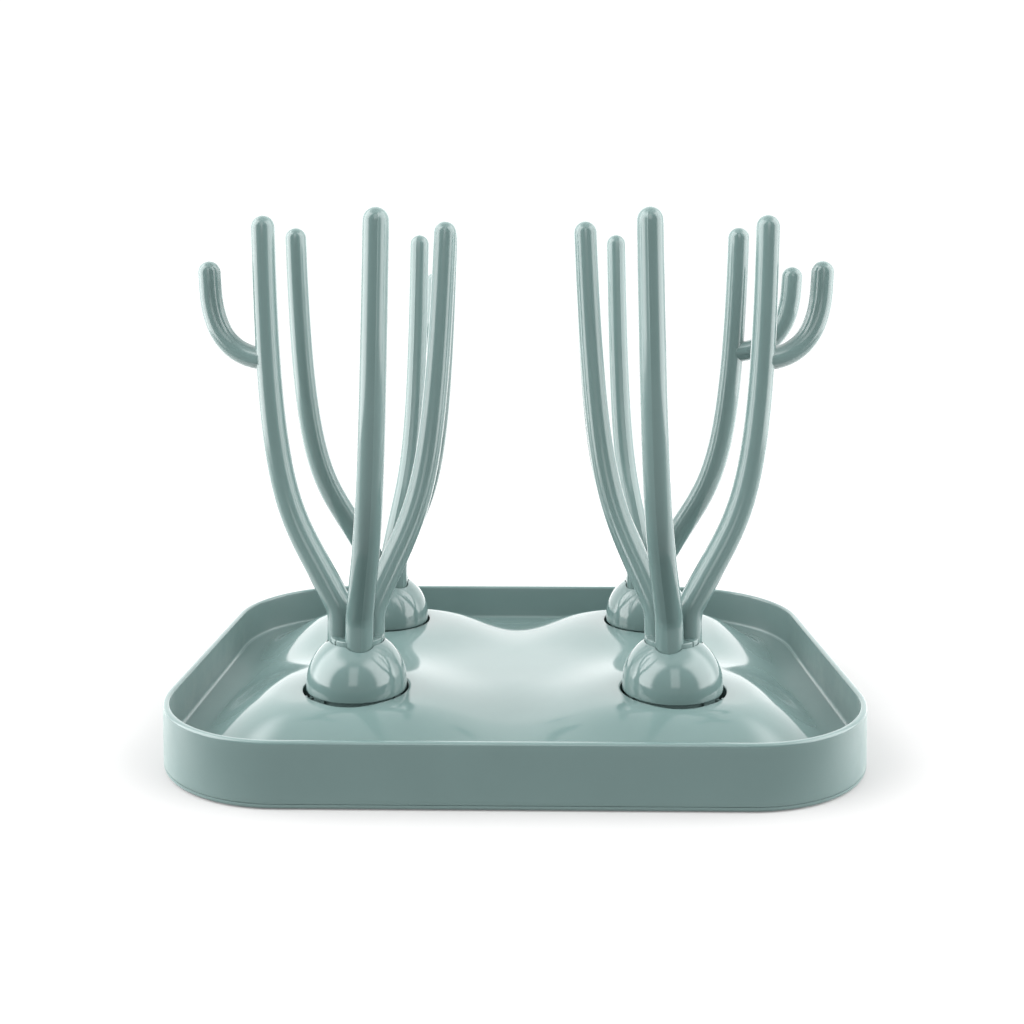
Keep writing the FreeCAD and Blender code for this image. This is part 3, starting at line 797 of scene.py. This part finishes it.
def make_room():
    """A white room for the eye. For the light, a bright backdrop, two much brighter panels to its
    left and right, one small tall lamp in front, and dim light from the rest."""
    world = bpy.data.worlds.new("studio")
    bpy.context.scene.world = world
    world.use_nodes = True
    tree = world.node_tree
    tree.nodes.clear()
    link = tree.links.new
    way = node(tree, "ShaderNodeSeparateXYZ")
    link(node(tree, "ShaderNodeTexCoord").outputs["Generated"], way.inputs[0])

    def fade(axis, start, end):
        """0 to 1 as one part of the direction goes from start to end."""
        step = node(tree, "ShaderNodeMapRange", interpolation_type="SMOOTHSTEP")
        step.inputs["From Min"].default_value = start
        step.inputs["From Max"].default_value = end
        link(way.outputs[axis], step.inputs["Value"])
        return step.outputs["Result"]

    def math_of(operation, a, b):
        """A maths node on two sockets or numbers."""
        made = node(tree, "ShaderNodeMath", operation=operation)
        for socket, value in zip(made.inputs, (a, b)):
            if isinstance(value, float):
                socket.default_value = value
            else:
                link(value, socket)
        return made.outputs[0]

    backdrop = math_of("MULTIPLY", fade("Y", *BACKDROP_FRONT), fade("Z", *BACKDROP_TOP))
    power = math_of("ADD", math_of("MULTIPLY", backdrop, BACKDROP_BRIGHT), ROOM_DIM)
    span = math_of("MULTIPLY", fade("Y", *PANEL_FRONT), fade("Y", *PANEL_BACK))
    span = math_of("MULTIPLY", span, fade("Z", *PANEL_TOP))
    for side, bright in ((-1, PANEL_LEFT_BRIGHT), (1, PANEL_RIGHT_BRIGHT)):
        beside = fade("X", side * PANEL_SIDE[0], side * PANEL_SIDE[1])
        panel = math_of("MULTIPLY", math_of("MULTIPLY", span, beside), bright)
        power = math_of("ADD", power, panel)
    lamp = math_of("MULTIPLY", fade("X", *LAMP_SIDE), fade("X", -LAMP_SIDE[0], -LAMP_SIDE[1]))
    lamp = math_of("MULTIPLY", lamp, fade("Z", *LAMP_LOW))
    lamp = math_of("MULTIPLY", lamp, fade("Z", *LAMP_TOP))
    lamp = math_of("MULTIPLY", lamp, fade("Y", *LAMP_FRONT))
    power = math_of("ADD", power, math_of("MULTIPLY", lamp, LAMP_BRIGHT))

    lit = node(tree, "ShaderNodeBackground")
    lit.inputs["Color"].default_value = (1, 1, 1, 1)
    link(power, lit.inputs["Strength"])
    seen = node(tree, "ShaderNodeBackground", Strength=ROOM_WHITE)
    seen.inputs["Color"].default_value = (1, 1, 1, 1)
    choice = node(tree, "ShaderNodeMixShader")
    link(node(tree, "ShaderNodeLightPath").outputs["Is Camera Ray"], choice.inputs["Fac"])
    link(lit.outputs[0], choice.inputs[1])
    link(seen.outputs[0], choice.inputs[2])
    link(choice.outputs[0], node(tree, "ShaderNodeOutputWorld").inputs["Surface"])


def make_camera():
    """A camera in front of the rack, a little above it and tipped slightly down."""
    data = bpy.data.cameras.new("camera")
    data.sensor_width = 36.0
    data.lens = CAMERA_LENS
    data.shift_y = CAMERA_SHIFT
    camera = bpy.data.objects.new("camera", data)
    camera.location = CAMERA_PLACE
    camera.rotation_euler = (math.radians(90 - CAMERA_DOWN), 0, math.radians(CAMERA_TURN))
    bpy.context.scene.collection.objects.link(camera)
    bpy.context.scene.camera = camera


# ---- put it together ---------------------------------------------------------------------
make_camera()
dress_cad_nodes()
tray_skin = make_tray_skin()
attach(tray_skin, "base")
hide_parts("tray")
make_trees()
make_table()
make_room()
bpy.context.scene.view_settings.view_transform = "Standard"
